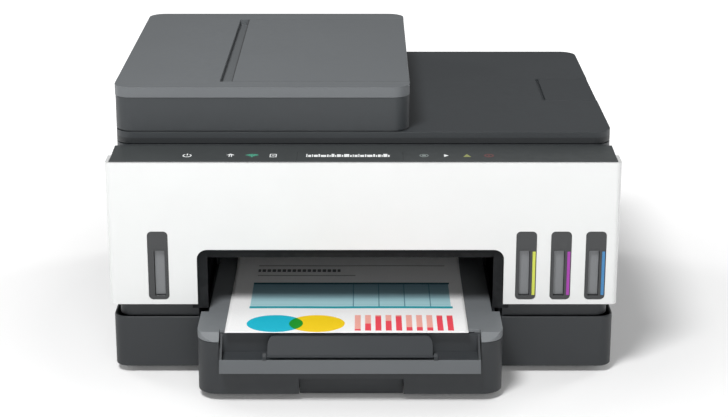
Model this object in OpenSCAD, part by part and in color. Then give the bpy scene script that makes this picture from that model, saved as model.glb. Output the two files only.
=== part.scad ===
// Tank-fed inkjet all-in-one: printer, flatbed scanner and document feeder.
// Millimetres. X runs to the right, Y to the back, Z up. The origin is the middle of the
// bounding box on the surface that the printer stands on.

/* [Housing] */
// Half of the housing's width
half_w = 224.7; // [224:0.1:226]
// Height of the rubber feet, and so of the base's underside
foot_h = 6; // [6:0.5:7]
// Height of the base's top edge
base_top = 53.5; // [53:0.1:53.5]
// Height of the front panel's bottom edge
panel_low = 66.5; // [66.5:0.1:67]
// Height of the front panel's top edge
panel_top = 197; // [196:0.1:197.2]
// Thickness of the moulded covers
wall = 2.5; // [2.3:0.1:2.7]
// Height of the side covers' top edge
side_top = 184.5; // [180:0.5:184.5]

/* [Paper path] */
// Middle of the paper trays, left of the housing's middle
tray_x = -11.5; // [-12:0.1:-11]
// Half of the trays' width
tray_half = 132.3; // [131.5:0.1:132.3]
// Front face of the paper tray
tray_front = -217; // [-218:0.5:-216]
// Corner radius of the tray's front
tray_r = 18; // [10:1:20]
// Height of the output tray's upper face
deck_top = 61; // [60.5:0.1:61]

/* [Ink] */
// Width of a tank window
window_w = 18.2; // [17:0.1:18.4]
// Lower edge of the tank windows
window_low = 70.8; // [70:0.1:72]
// Upper edge of the tank windows
window_top = 134.4; // [132:0.1:136]
// Middle of the black tank's window
black_x = -181; // [-182:0.1:-180]
// Middle of the first colour window
colour_x = 143.4; // [143:0.1:144]
// Distance from one colour window to the next
colour_pitch = 30.6; // [30:0.1:30.8]

/* [Scanner and feeder] */
// Half of the scanner lid's width
lid_half = 221; // [220:0.1:221.4]
// Upper face of the scanner lid
lid_top = 212; // [212:0.1:212]
// Height of the feeder's top face
feeder_top = 253; // [252.5:0.1:254]
// Right-hand end of the feeder
feeder_right = 41.3; // [41:0.1:42]

/* [Hidden] */
$fn = 48;

y_shift = 7.7;          // moves the drawn frame so that the bounding box is centred on the origin
front_y = -156;         // front face of the white panel
back_y = 204;           // back face of the housing
fit = 0.05;             // radial clearance of a running fit
dark = "#3b3e41";
darker = "#2b2d2f";
grey = "#75797c";
metal = "#9a9c9e";

// tray and mouth
tray_l = tray_x - tray_half;
tray_r_x = tray_x + tray_half;
mouth_l = -146.9;
mouth_r = 123.9;
mouth_top = 117.4;
sleeve_l = -137.9;      // inside of the dark sleeve in the mouth
sleeve_r = 114.9;
deck_pivot = [-10, 57.5];   // y and z of the output tray's hinge
stop_pivot = [-222.6, 43.9];

// print mechanism, [y, z] of each shaft
feed_axis = [62, 72];
eject_axis = [18, 66];
idler_axis = [37.6, 86.2];
pinion_axis = [77.7, 87.7];
pick_axis = [84, 61];
pickup_axis = [40, 47];
rod_axis = [60, 100];
gear_x = [-172, -166];  // the gears' plane, outside the left frame plate
feed_gear_r = 16;
idler_gear_r = 12.2;
pinion_r = 6.2;
gear_gap = 0.1;         // taken off each gear's pitch radius
tyre_x = [-100, -55.5, -11.5, 32.5, 77];
pulley_x = [-150, 195];
pulley_z = 130;
pulley_radius = 6;
carriage_x = [112, 188];

// scanner and feeder
lift_axis = [196, 172];
lift_pin = 218.2;       // outer end of the scanner's hinge pins
door_axis = [203.1, 76.3];
lid_axis = [209.5, 203];
cover_low = 243.5;
lid_r = 16;              // corners of the lid and the feeder, seen from above
flap_y = [-88.8, 177];
flap_left = [-117.6, -117.9];     // the flap's left edge at its front and at its back
slot_left = [-128.3, -126.4];   // the finger slot's left edge at its front and at its back
adf_feed_axis = [-150, 226.5];  // x and z
adf_pick_axis = [-95, 239.2];
cover_axis = [-222.9, 243.35];  // x and z of the feeder cover's hinge
knuckle_r = 1.2;
knuckle_y = [-60, 150];         // front end of each pair of knuckles
flap_axis = [feeder_right - 1.2, feeder_top - 1.2];
stop_span = [tray_x - 71, tray_x + 71]; // the paper stop's tongue
stop_x = 171.5;
stop_y = [3.5, 88.7];

windows = [black_x, for (i = [0:2]) colour_x + i * colour_pitch];

// --- helpers ---------------------------------------------------------------

module block(x, y, z) {
    translate([x[0], y[0], z[0]]) cube([x[1] - x[0], y[1] - y[0], z[1] - z[0]]);
}

// a flat rounded rectangle from its two corners
module rounded(x, y, r) {
    translate([x[0] + r, y[0]]) square([x[1] - x[0] - 2 * r, y[1] - y[0]]);
    translate([x[0], y[0] + r]) square([x[1] - x[0], y[1] - y[0] - 2 * r]);
    for (cx = [x[0] + r, x[1] - r], cy = [y[0] + r, y[1] - r]) translate([cx, cy]) circle(r);
}

// the same with its upper corners round and its lower ones square
module arch(x, y, r) {
    translate([x[0], y[0]]) square([x[1] - x[0], y[1] - y[0] - r]);
    translate([x[0] + r, y[1] - r - 1]) square([x[1] - x[0] - 2 * r, r + 1]);
    for (cx = [x[0] + r, x[1] - r]) translate([cx, y[1] - r]) circle(r);
}

module slab(x, y, z, r) {
    translate([0, 0, z[0]]) linear_extrude(z[1] - z[0]) rounded(x, y, r);
}

// extrudes an outline drawn in X and Z along Y
module along_y(y) {
    translate([0, y[1], 0]) rotate([90, 0, 0]) linear_extrude(y[1] - y[0]) children();
}

// extrudes an outline drawn in Y and Z along X
module along_x(x) {
    translate([x[0], 0, 0]) rotate([90, 0, 90]) linear_extrude(x[1] - x[0]) children();
}

module shaft_x(axis, x, r) {
    translate([x[0], axis[0], axis[1]]) rotate([0, 90, 0]) cylinder(h = x[1] - x[0], r = r);
}

module shaft_y(axis, y, r) {
    translate([axis[0], y[0], axis[1]]) rotate([-90, 0, 0]) cylinder(h = y[1] - y[0], r = r);
}

module shaft_z(at, z, r) {
    translate([at[0], at[1], z[0]]) cylinder(h = z[1] - z[0], r = r);
}

// --- housing ---------------------------------------------------------------

module base_tub() color(dark) {
    bay = [tray_l - 2, tray_r_x + 2];
    difference() {
        slab([-223, 223], [-153, back_y], [foot_h, base_top], 12);
        slab([-223 + wall, 223 - wall], [-153 + wall, back_y - wall], [foot_h + wall, 60], 9.5);
        block(bay, [-160, -150], [foot_h + wall, 60]);
    }
    for (x = [bay[0] - 2.2, bay[1]]) block([x, x + 2.2], [-153, 100], [foot_h + wall, base_top]);
}

module mid_deck() color(darker) {
    difference() {
        slab([-218, 218], [-149, 200], [base_top, panel_low], 12);
        slab([-215.5, 215.5], [-146.5, 197.5], [base_top + wall, 70], 9.5);
        block([tray_l - 2.7, tray_r_x + 2.7], [-160, 110], [50, 70]);
        block([gear_x[0] - 2, gear_x[1] + 3], [-1, 82], [50, 60]);
    }
}

module window_hole(x, clearance) {
    rounded([x - window_w / 2 + clearance, x + window_w / 2 - clearance],
            [window_low + clearance, window_top - clearance], 4 - clearance);
}

module front_fascia() color("#eef0f0") {
    difference() {
        slab([-half_w, half_w], [front_y, 0], [panel_low, panel_top], 5);
        slab([-half_w + 3, half_w - 3], [front_y + 3, 50], [60, 200], 1);
        block([-half_w - 5, half_w + 5], [-131, 60], [60, 200]);
        along_y([-160, -150]) arch([mouth_l, mouth_r], [50, mouth_top], 9);
        along_y([-160, -150]) for (x = windows) window_hole(x, 0);
    }
}

module side_cover(x) {
    block(x, [-130.8, 179.8], [panel_low, side_top]);
}

module left_side_cover() color(dark) side_cover([-224.2, -221.7]);

module right_side_cover() color(dark) {
    difference() {
        side_cover([221.7, 224.2]);
        for (i = [0:11]) block([221, 225], [40 + i * 10, 43 + i * 10], [90, 130]);
    }
}

module rear_cover() color(dark) difference() {
    union() {
        difference() {
            slab([-223, 223], [100, back_y], [panel_low, 184], 12);
            slab([-223 + wall, 223 - wall], [50, back_y - wall], [60, 190], 9.5);
            block([-230, 230], [90, 180], [60, 190]);
            block([-214.5, 214.5], [170, 210], [163, 190]);
            block([-120, 100], [190, 210], [74, 142]);
            block([160, 188], [190, 210], [76, 98]);
            block([-200, -130], [190, 210], [76, 98]);
            shaft_y([140, 120], [190, 210], 5.25);
            for (i = [0:9]) block([155 + i * 5, 157 + i * 5], [190, 210], [120, 148]);
        }
        for (side = [-1, 1]) scale_x(side) block([214.8, 219], [186, 201.6], [150, 180]);
        for (x = [-124, 100.2]) block([x, x + 3.8], [199.5, 205], [73, 80]);
    }
    for (side = [-1, 1]) scale_x(side) shaft_x(lift_axis, [210, lift_pin + 0.4], 3 + fit);
    shaft_x(door_axis, [-122.4, 102.4], 1.2 + fit);
}

module scale_x(side) {
    if (side < 0) mirror([1, 0, 0]) children();
    else children();
}

module output_bezel() color("#2f3134") {
    difference() {
        along_y([-152.8, -149]) arch([-152, 129], [61.8, 122], 8);
        along_y([-160, -140]) arch([sleeve_l, sleeve_r], [50, 113.5], 4);
    }
    for (x = [-150, 125]) block([x, x + 2], [-149, -6], [panel_low, 118]);
    block([-150, 127], [-149, -6], [118, 120]);
}

module window_slot(x, clearance) {
    offset_x = x == black_x ? 1.1 : -1.3;
    rounded([x + offset_x - 4.65 + clearance, x + offset_x + 4.65 - clearance],
            [74.5 + clearance, 116.3 - clearance], 1 - clearance);
}

module window_frames() color("#34373a") {
    for (x = windows) along_y([-155.4, -150.4]) difference() {
        window_hole(x, 0.15);
        window_slot(x, 0);
    }
}

module feet_at() {
    for (x = [-195, 195], y = [-125, 180]) translate([x, y, 0]) children();
}

module rubber_feet() color("#1c1d1e") {
    feet_at() difference() {
        cylinder(h = foot_h, r = 9);
        translate([0, 0, -1]) cylinder(h = 2.5, r = 5);
    }
}

module case_screws() color(metal) {
    for (x = [-170, 170], y = [-80, 40, 150]) translate([x, y, foot_h - 1.4]) difference() {
        cylinder(h = 1.4, r = 3.2);
        translate([-2.2, -0.4, -0.1]) cube([4.4, 0.8, 0.9]);
        translate([-0.4, -2.2, -0.1]) cube([0.8, 4.4, 0.9]);
    }
    for (x = [-205, 205], z = [75, 150]) translate([x, back_y, z]) rotate([-90, 0, 0]) difference() {
        cylinder(h = 1.4, r = 3);
        translate([-2.2, -0.4, 0.6]) cube([4.4, 0.8, 0.9]);
        translate([-0.4, -2.2, 0.6]) cube([0.8, 4.4, 0.9]);
    }
}

// --- ink -------------------------------------------------------------------

cap_y = -112;           // middle of a filler neck
cap_pivot = [-96, 134]; // y and z of a cap's hinge

module tank(x, half) {
    offset_x = x == black_x ? 1.1 : -1.3;
    block([x - half, x + half], [-148, -30], [68, 126]);
    along_y([-152.6, -148]) window_slot(x, 0.3);
    shaft_z([x, cap_y], [126, 131.6], 8);
    for (e = [x - 10.5, x + 7.6]) difference() {
        block([e, e + 2.9], [-99.5, -92.5], [126, 137.5]);
        shaft_x(cap_pivot, [e - 1, e + 5], 1.8 + fit);
    }
}

module ink_tank_black() color("#8b8e90") tank(black_x, 22);

module ink_tank_colours() color("#8b8e90") {
    for (i = [1:3]) tank(windows[i], 13.5);
}

module cap(i, tint) color(tint) {
    x = windows[i];
    difference() {
        block([x - 7.2, x + 7.2], [-121, -94], [132.2, 135.8]);
        block([x - 8, x + 8], [-97, -93], [131, 132.9]);
    }
    shaft_z([x, cap_y], [135.8, 138], 7);
    shaft_x(cap_pivot, [x - 10.4, x + 10.4], 1.8);
}

module cap_black() cap(0, "#232426");
module cap_yellow() cap(1, "#e6c21d");
module cap_magenta() cap(2, "#b0208a");
module cap_cyan() cap(3, "#1e8fc4");

// --- trays -----------------------------------------------------------------

module input_tray() color(dark) {
    difference() {
        union() {
            difference() {
                slab([tray_l, tray_r_x], [tray_front, -150], [foot_h + 0.5, 54], tray_r);
                block([tray_l - 1, tray_r_x + 1], [-197, -140], [0, 60]);
            }
            difference() {
                block([-141, 118], [-197, 106], [9.5, 54]);
                block([-138.5, 115.5], [-197.5, 103.5], [12, 60]);
            }
            for (x = [-141, 115.5]) block([x, x + 2.5], [-14.5, -5.5], [54, 60.6]);
        }
        block([-124.4, 101.4], [-230, -200], [27.5, 60]);
        block([-138.5, 115.5], [-196.9, -190], [12, 60]);
        block([-55.8, 34.9], [-230, -206], [0, 20.6]);
        block([-55.8, 34.9], [-207, -190], [0, 9.5]);
        block([-80, 57], [100, 110], [14, 60]);
        shaft_x(deck_pivot, [-150, 130], 2.5 + fit);
    }
}

module width_guide(x, inward) color(grey) {
    block([x - 1, x + 1], [-60, 40], [12.3, 44]);
    block(inward > 0 ? [x + 1, x + 28] : [x - 28, x - 1], [-40, 20], [12.3, 13.8]);
}

module width_guide_left() width_guide(tray_x - 108, 1);
module width_guide_right() width_guide(tray_x + 108, -1);

module length_guide() color(grey) {
    block([-40, 17], [-196, -194], [12.3, 34]);
    block([-30, 7], [-194, -170], [12.3, 13.8]);
}

module output_deck() color(dark) {
    difference() {
        union() {
            difference() {
                slab([tray_l, tray_r_x], [tray_front, -100], [54.5, deck_top], tray_r);
                block([tray_l - 1, tray_r_x + 1], [-159.5, -90], [50, 70]);
            }
            block([-137, 114], [-159.5, -5], [54.5, deck_top]);
        }
        block([-124.4, 101.4], [-230, -202.6], [50, 70]);
        block([-119.5, 96.5], [-203, -30], [54, 58.4]);
        along_x([-160, 140]) polygon([[-209, 61.01], [-217.5, 54.6], [-220, 54.6], [-220, 62], [-209, 62]]);
    }
    for (x = [-141, 114]) shaft_x(deck_pivot, [x, x + 4], 2.5);
}

module output_extender() color(dark) {
    block([-118.8, 95.8], [-203, -60], [55, 57.9]);
    along_x([-123.7, 100.7]) polygon([[-203, 57.9], [-205, 57.9], [-207.5, 42], [-220.6, 38.4],
        [-224, 41.2], [-228, 30], [-225, 29.8], [-222.4, 35], [-206, 39.4], [-203, 55]]);
    for (x = [-123.7, 98.7]) along_x([x, x + 2])
        polygon([[-204.9, 57.9], [-224, 41.2], [-220.6, 38.4], [-207.5, 42]]);
    for (x = [stop_span[0] - 4, stop_span[1] + 1]) difference() {
        along_x([x, x + 3]) polygon([[-224.8, 41.2], [-220.6, 38], [-219.8, 44.5], [-222.6, 46.7], [-225.4, 44.5]]);
        shaft_x(stop_pivot, [x - 1, x + 4], 1.2 + fit);
    }
}

module output_stop() color(grey) {
    intersection() {
        along_x(stop_span) polygon([[-222.2, 43.2], [-222.8, 45.2], [-210, 59.4], [-208.4, 58.2]]);
        along_y([-230, -200]) rounded(stop_span, [30, 59.5], 8);
    }
    shaft_x(stop_pivot, stop_span, 1.4);
    shaft_x(stop_pivot, [stop_span[0] - 4, stop_span[1] + 4], 1.2);
}

module printed_sheet() color("white") {
    along_x([-119.5, 90.5]) polygon([[-213, 61.5], [-213, 61.7], [-70, 61.7], [-3, 72.2], [-3, 72], [-70, 61.5]]);
}

// --- back ------------------------------------------------------------------

module rear_door() color(dark) {
    difference() {
        union() {
            block([-119, 99], [201.8, 204.4], [76.3, 141]);
            shaft_x(door_axis, [-119, 99], 1.3);
            shaft_x(door_axis, [-122, 102], 1.2);
        }
        slab([-35, 12], [203.4, 210], [128, 150], 0.5);
    }
}

module power_button() color(grey) {
    shaft_y([140, 120], [200.5, 205.4], 5);
    shaft_y([140, 120], [198.5, 200.5], 7);
}

module power_supply() color("#303234") {
    difference() {
        union() {
            block([130, 212], [112, 178], [58, 110]);
            block([161, 187], [178, 203.8], [77, 97]);
        }
        block([165, 183], [193, 210], [82, 92]);
    }
    for (x = [169.5, 178.5]) shaft_y([x, 87], [190, 201], 1.2);
}

module data_ports() color("#9b9d9f") {
    difference() {
        block([-199.5, -130.5], [188, 203.8], [76.5, 97.5]);
        block([-196, -184], [192, 210], [81, 92]);
        block([-180, -165], [192, 210], [80, 93]);
        for (x = [-161, -146]) block([x, x + 11], [193, 210], [81, 91]);
    }
}

module main_board() color("#1f6b45") {
    block([-216, -214.4], [-20, 186], [68, 158]);
    block([-214.4, -208], [40, 80], [90, 130]);
    block([-214.4, -204], [100, 118], [70, 100]);
    for (i = [0:5]) block([-214.4, -208], [-10, 6], [70 + 14 * i, 80 + 14 * i]);
    for (i = [0:3]) translate([-214.4, 140 + 12 * i, 130]) rotate([0, 90, 0]) cylinder(h = 12, r = 4.5);
}

// --- print mechanism -------------------------------------------------------

module mech_frame() color(metal) {
    difference() {
        union() {
            block([-162, 207], [96, 98], [57, 150]);
            block([-162, -160], [-2, 96], [57, 150]);
            block([205, 207], [-2, 96], [57, 150]);
            for (x = [-47, 22]) block([x, x + 2], [78, 96], [57, 68]);
        }
        shaft_x(rod_axis, [-170, 210], 4);
        shaft_x(feed_axis, [-170, 210], 4 + fit);
        shaft_x(eject_axis, [-170, -150], 3 + fit);
        shaft_x(idler_axis, [-170, -150], 2);
        shaft_x(pinion_axis, [-170, -150], 3);
        shaft_x(pick_axis, [-50, 30], 3 + fit);
        shaft_y([pulley_x[0], pulley_z], [90, 100], 3);
        block([-100, 150], [90, 100], [104, 122]);
    }
    shaft_y([pulley_x[1], pulley_z], [84, 96], 1.5);
    shaft_x(idler_axis, [-174, -160], 2);
}

module carriage_rod() color("#c9cbcc") shaft_x(rod_axis, [-163, 208], 4);

module carriage_belt() color("#151515") {
    along_y([87, 92]) difference() {
        belt_outline(pulley_radius + 1.6);
        belt_outline(pulley_radius + 0.1);
    }
}

module belt_outline(r) {
    for (x = pulley_x) translate([x, pulley_z]) circle(r);
    translate([pulley_x[0], pulley_z - r]) square([pulley_x[1] - pulley_x[0], 2 * r]);
}

module pulley(x) color("#d8d8d2") {
    difference() {
        union() {
            shaft_y([x, pulley_z], [86, 93], pulley_radius);
            shaft_y([x, pulley_z], [85, 86.8], pulley_radius + 1.8);
        }
        shaft_y([x, pulley_z], [80, 100], 1.5 + fit);
    }
}

module belt_pulley_drive() pulley(pulley_x[0]);
module belt_pulley_idler() pulley(pulley_x[1]);

module drive_motors() color("#a9abad") {
    shaft_y([pulley_x[0], pulley_z], [98, 128], 14);
    shaft_y([pulley_x[0], pulley_z], [84, 98], 1.5);
    shaft_x(pinion_axis, [-160, -141], 14);
    shaft_x(pinion_axis, [-174, -160], 1.5);
}

module gear_blank(axis, r) {
    shaft_x(axis, gear_x, r - gear_gap);
    shaft_x(axis, [gear_x[1], gear_x[1] + 1.5], min(r - 2, 6));
}

module feed_roller() color("#4a4c4e") {
    shaft_x(feed_axis, [-175, 206], 4);
    for (x = tyre_x) shaft_x(feed_axis, [x - 11, x + 11], 7);
    gear_blank(feed_axis, feed_gear_r);
}

module eject_roller() color("#4a4c4e") {
    shaft_x(eject_axis, [-175, 107], 3);
    for (x = tyre_x) shaft_x(eject_axis, [x - 6, x + 6], 6);
    gear_blank(eject_axis, feed_gear_r);
}

module idler_gear() color("#e4e2da") difference() {
    gear_blank(idler_axis, idler_gear_r);
    shaft_x(idler_axis, [-180, -150], 2 + fit);
}

module feed_pinion() color("#d2b46a") difference() {
    gear_blank(pinion_axis, pinion_r);
    shaft_x(pinion_axis, [-180, -150], 1.5 + fit);
}

module pick_arm() color("#4a4c4e") {
    for (x = [-37, 10]) difference() {
        union() {
            shaft_x(pick_axis, [x, x + 4], 4.5);
            shaft_x(pickup_axis, [x, x + 4], 4.5);
            along_x([x, x + 4]) polygon([[40, 51.5], [40, 43], [84, 57], [84, 65.5]]);
        }
        shaft_x(pickup_axis, [x - 1, x + 5], 2 + fit);
    }
    shaft_x(pick_axis, [-49, 26], 3);
    block([-33, 10], [60, 66], [51.5, 56]);
}

module pickup_roller() color("#2a2a2a") {
    shaft_x(pickup_axis, [-38, 15], 2);
    shaft_x(pickup_axis, [-31, 8], 10);
}

module platen() color("#34373a") {
    block([-134, 102], [27, 53], [60, 69]);
    for (i = [0:11]) block([-128 + i * 20, -126 + i * 20], [28, 52], [69, 72]);
    for (x = [-138, 102]) difference() {
        block([x, x + 4], [8, 53], [57, 74]);
        shaft_x(eject_axis, [x - 1, x + 5], 3 + fit);
    }
}

module service_station() color("#3a3c3f") {
    difference() {
        block([112, 196], [2, 50], [56, 74]);
        block([115, 183], [5, 47], [60, 80]);
    }
    for (x = [120, 154]) block([x, x + 26], [10, 42], [60, 76.5]);
}

module print_carriage() color("#2f3235") {
    difference() {
        union() {
            block(carriage_x, [5, 78], [84, 126]);
            block([145, 155], [78, 85.6], [114, 121]);
        }
        for (x = [117, 151]) block([x, x + 32], [11, 51], [80, 130]);
        shaft_x(rod_axis, [100, 200], 4 + fit);
    }
}

module printheads() color("#1d1e20") {
    for (x = [117, 151]) {
        block([x + 0.2, x + 31.8], [11.2, 50.8], [79, 128]);
        block([x + 6, x + 26], [14, 40], [128, 134]);
    }
}

// --- scanner ---------------------------------------------------------------

module scanner_tub() color(darker) {
    difference() {
        union() {
            slab([-214, 214], [-104, 203], [165, 190], 6);
            slab([-lid_half, lid_half], [-109, 207], [187, 197], lid_r);
        }
        slab([-211.5, 211.5], [-101.5, 200.5], [167.5, 210], 4);
    }
    block([-211.5, 211.5], [36, 44], [167.5, 177]);
    for (side = [-1, 1]) scale_x(side) shaft_x(lift_axis, [213.9, lift_pin], 3);
}

module scanner_frame() color(dark) {
    difference() {
        slab([-lid_half, lid_half], [-109, 207], [197, 200.5], lid_r);
        slab([-115, 190], [-70, 150], [190, 210], 2);
        slab([-150, -128], [-70, 150], [190, 210], 2);
    }
    for (x = [-171, 164]) difference() {
        union() {
            block([x, x + 7], [203, 212.6], [197.2, 200.5]);
            block([x, x + 7], [206.4, 212.6], [200.5, 203]);
            shaft_x(lid_axis, [x, x + 7], 3.1);
        }
        shaft_x(lid_axis, [x - 1, x + 8], 1.5 + fit);
    }
}

module scanner_glass() color("#b9c4c4") {
    block([-119, 195], [-75, 155], [194, 197]);
    block([-156, -124], [-75, 155], [194, 197]);
}

module control_panel() color("#3a3d3f") {
    along_x([-221.2, 221.2]) polygon([[-152.4, 188], [-152.4, 197.6], [-109.2, 199.8], [-109.2, 187],
                                      [-148, 187]]);
}

module scan_bar() color("#26282a") {
    block([-200, -182], [-72, 152], [180, 192.5]);
    difference() {
        block([-200, -182], [28, 52], [172, 180]);
        block([-205, -175], [35.6, 44.4], [170, 177.2]);
    }
}

module scanner_lid() color("#4a4d50") {
    difference() {
        slab([-lid_half, lid_half], [-109, 209], [201.3, lid_top], lid_r);
        slab([-lid_half + wall, lid_half - wall], [-109 + wall, 209 - wall], [190, 207], lid_r - wall);
        block([stop_x - 2, 225], stop_y, [209.3, 215]);
        for (x = [-172, 137]) block([x, x + 35], [205, 215], [190, 208]);
    }
    for (x = [-163, 138]) difference() {
        union() {
            shaft_x(lid_axis, [x, x + 25], 3.1);
            block([x, x + 25], [206.4, 209.5], [203, 210]);
        }
    }
    for (x = [-171, 163]) shaft_x(lid_axis, [x, x + 8], 1.5);
}

module lid_pad() color("#f0f0ec") {
    block([-117, 192], [-72, 152], [201, 207]);
    block([-155, -125], [-72, 152], [201, 207]);
}

module document_stop() color("#4a4d50") {
    block([stop_x + 1, lid_half - 1.2], [stop_y[0] + 0.5, stop_y[1] - 0.5], [209.6, lid_top]);
    shaft_y([lid_half - 1.2, lid_top - 1.2], [stop_y[0] + 0.5, stop_y[1] - 0.5], 1.2);
}

// --- document feeder -------------------------------------------------------

module adf_base() color(dark) {
    x = [-221, feeder_right - 0.3];
    difference() {
        union() {
            slab(x, [-109, 206], [213.4, 243.2], lid_r);
            slab([x[0] + 1.5, x[1] - 1.5], [-107.5, 204.5], [lid_top, 213.5], lid_r - 1.5);
        }
        slab([x[0] + 3, x[1] - 2.5], [-106, 203], [200, 250], lid_r - 3);
        block([30, 60], [-95, 192], [200, 229]);
    }
    slab([-100, x[1] - 2.4], [-106.1, 203.1], [229, 231.5], lid_r - 3.2);
    for (y = knuckle_y) {
        shaft_y(cover_axis, [y, y + 8], knuckle_r);
        shaft_y(cover_axis, [y, y + 15], 0.6);
        block([cover_axis[0], -220.5], [y, y + 8], [cover_axis[1] - knuckle_r, cover_axis[1] - 0.25]);
    }
    for (y = [-73, 150]) difference() {
        block([-170, -84], [y, y + 3], [lid_top, 243]);
        for (axis = [adf_feed_axis, adf_pick_axis]) shaft_y(axis, [y - 1, y + 4], 3 + fit);
    }
}

module adf_cover() color(grey) {
    x = [-221.3, feeder_right];
    difference() {
        slab(x, [-109.5, 206.3], [cover_low, feeder_top], lid_r);
        slab([x[0] + 3, x[1] - 3], [-106.5, 203.3], [240, feeder_top - wall], lid_r - 3);
        translate([0, 0, feeder_top - wall - 0.2]) linear_extrude(10)
            polygon([[slot_left[0], flap_y[0]], [slot_left[1], flap_y[1]], [60, flap_y[1]], [60, flap_y[0]]]);
        shaft_y(flap_axis, [flap_y[0] - 2.3, flap_y[1] + 2.3], 0.8 + fit);
    }
    for (y = knuckle_y) difference() {
        union() {
            shaft_y(cover_axis, [y + 8.4, y + 16], knuckle_r);
            block([cover_axis[0], -220.5], [y + 8.4, y + 16], [cover_axis[1] + 0.25, cover_axis[1] + knuckle_r]);
        }
        shaft_y(cover_axis, [y, y + 15.6], 0.6 + fit);
    }
    difference() {
        finger_trough(1.5, [246, feeder_top - wall]);
        finger_trough(0, [247.5, 260]);
        block([-116, 0], [-200, 300], [249.6, 260]);
    }
}

// the slot's outline grown by a margin, from one height to another
module finger_trough(margin, z) {
    translate([0, 0, z[0]]) linear_extrude(z[1] - z[0])
        polygon([[slot_left[0] - margin, flap_y[0] - margin], [slot_left[1] - margin, flap_y[1] + margin],
                 [flap_left[1] + 4 + margin, flap_y[1] + margin], [flap_left[0] + 4 + margin, flap_y[0] - margin]]);
}

module adf_flap() color(grey) {
    low = feeder_top - 2.4;
    translate([0, 0, low]) linear_extrude(2.4)
        polygon([[flap_left[0], flap_y[0] + 0.7], [flap_left[1], flap_y[1] - 0.7],
                 [flap_axis[0], flap_y[1] - 0.7], [flap_axis[0], flap_y[0] + 0.7]]);
    shaft_y(flap_axis, [flap_y[0] + 0.7, flap_y[1] - 0.7], 1.2);
    shaft_y(flap_axis, [flap_y[0] - 2, flap_y[1] + 2], 0.8);
    for (y = [-60, 0, 60, 120]) block([-96, 34], [y, y + 2], [low - 1.5, low]);
}

module adf_guide(y, inward) color("#4a4c4e") {
    block([-66, 30], inward > 0 ? [y, y + 2] : [y - 2, y], [231.7, 243]);
    block([-66, 30], inward > 0 ? [y + 2, y + 16] : [y - 16, y - 2], [231.7, 233]);
}

module adf_guide_front() adf_guide(-70, 1);
module adf_guide_rear() adf_guide(150, -1);

module adf_pick_roller() color("#2a2a2a") {
    shaft_y(adf_pick_axis, [-75, 155], 3);
    shaft_y(adf_pick_axis, [20, 60], 7);
}

module adf_feed_roller() color("#2a2a2a") {
    shaft_y(adf_feed_axis, [-75, 155], 3);
    for (y = [-10, 50]) shaft_y(adf_feed_axis, [y, y + 40], 10);
}

// --- what is drawn ---------------------------------------------------------

translate([0, y_shift, 0]) {
    base_tub();
    mid_deck();
    front_fascia();
    left_side_cover();
    right_side_cover();
    rear_cover();
    output_bezel();
    window_frames();
    ink_tank_black();
    ink_tank_colours();
    mech_frame();
    carriage_rod();
    carriage_belt();
    drive_motors();
    platen();
    service_station();
    main_board();
    power_supply();
    data_ports();
    rubber_feet();
    case_screws();
    input_tray();
    width_guide_left();
    width_guide_right();
    length_guide();
    output_deck();
    output_extender();
    output_stop();
    rear_door();
    power_button();
    feed_roller();
    eject_roller();
    idler_gear();
    feed_pinion();
    pick_arm();
    pickup_roller();
    print_carriage();
    printheads();
    belt_pulley_drive();
    belt_pulley_idler();
    cap_black();
    cap_yellow();
    cap_magenta();
    cap_cyan();
    scanner_tub();
    scanner_frame();
    control_panel();
    scanner_glass();
    scan_bar();
    scanner_lid();
    lid_pad();
    adf_base();
    adf_cover();
    adf_flap();
    adf_guide_front();
    adf_guide_rear();
    adf_pick_roller();
    adf_feed_roller();
    document_stop();
    printed_sheet();
}
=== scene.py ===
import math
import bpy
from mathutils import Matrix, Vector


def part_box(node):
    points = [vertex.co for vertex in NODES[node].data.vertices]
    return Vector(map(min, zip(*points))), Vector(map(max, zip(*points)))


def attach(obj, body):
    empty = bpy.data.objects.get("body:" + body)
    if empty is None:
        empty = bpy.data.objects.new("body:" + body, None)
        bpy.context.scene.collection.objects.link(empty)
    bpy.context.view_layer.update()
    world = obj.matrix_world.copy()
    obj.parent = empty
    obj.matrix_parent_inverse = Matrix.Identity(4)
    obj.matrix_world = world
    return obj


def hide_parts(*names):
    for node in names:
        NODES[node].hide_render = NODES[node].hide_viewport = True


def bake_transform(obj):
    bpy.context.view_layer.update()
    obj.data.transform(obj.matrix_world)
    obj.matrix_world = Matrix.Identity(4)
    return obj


bl_info = {
    "name": "Tank Inkjet Printer",
    "version": (1, 0, 0),
    "blender": (4, 5, 0),
    "location": "3D View > Sidebar > Printer",
    "description": "Finishes and small parts of a tank-fed inkjet printer with a scanner",
    "category": "Object",
}

import bpy
import numpy as np
from bpy.props import FloatProperty, FloatVectorProperty, IntProperty, PointerProperty
from mathutils import Vector

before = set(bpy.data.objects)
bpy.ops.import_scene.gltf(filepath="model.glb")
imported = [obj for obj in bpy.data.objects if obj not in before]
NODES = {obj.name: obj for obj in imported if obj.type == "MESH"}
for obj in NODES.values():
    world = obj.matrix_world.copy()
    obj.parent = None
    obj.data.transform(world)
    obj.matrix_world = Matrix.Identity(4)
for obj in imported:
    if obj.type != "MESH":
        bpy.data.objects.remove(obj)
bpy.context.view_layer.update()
MM = 0.001
BACK = 0.0077  # how far the drawn housing sits behind the frame's own origin
SHARP = math.radians(40)  # edges that turn more than this are rounded
SHEET_CORNER = (119.5, 213.0)  # millimetres from the sheet's left front corner to the drawn origin
SHEET_FLAT = 0.143  # how much of the sheet lies flat before it rises towards the rollers
PANEL_FRONT = 0.1976  # height of the control panel's front edge
GLYPH_ROW = -0.1298  # where the row of key symbols runs, along Y
GLYPH_GAP = 0.00003  # lifts the symbols clear of the film under them
BLACK_TANK, FIRST_TANK, TANK_PITCH = -0.181, 0.1434, 0.0306  # tank centres along X

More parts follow.
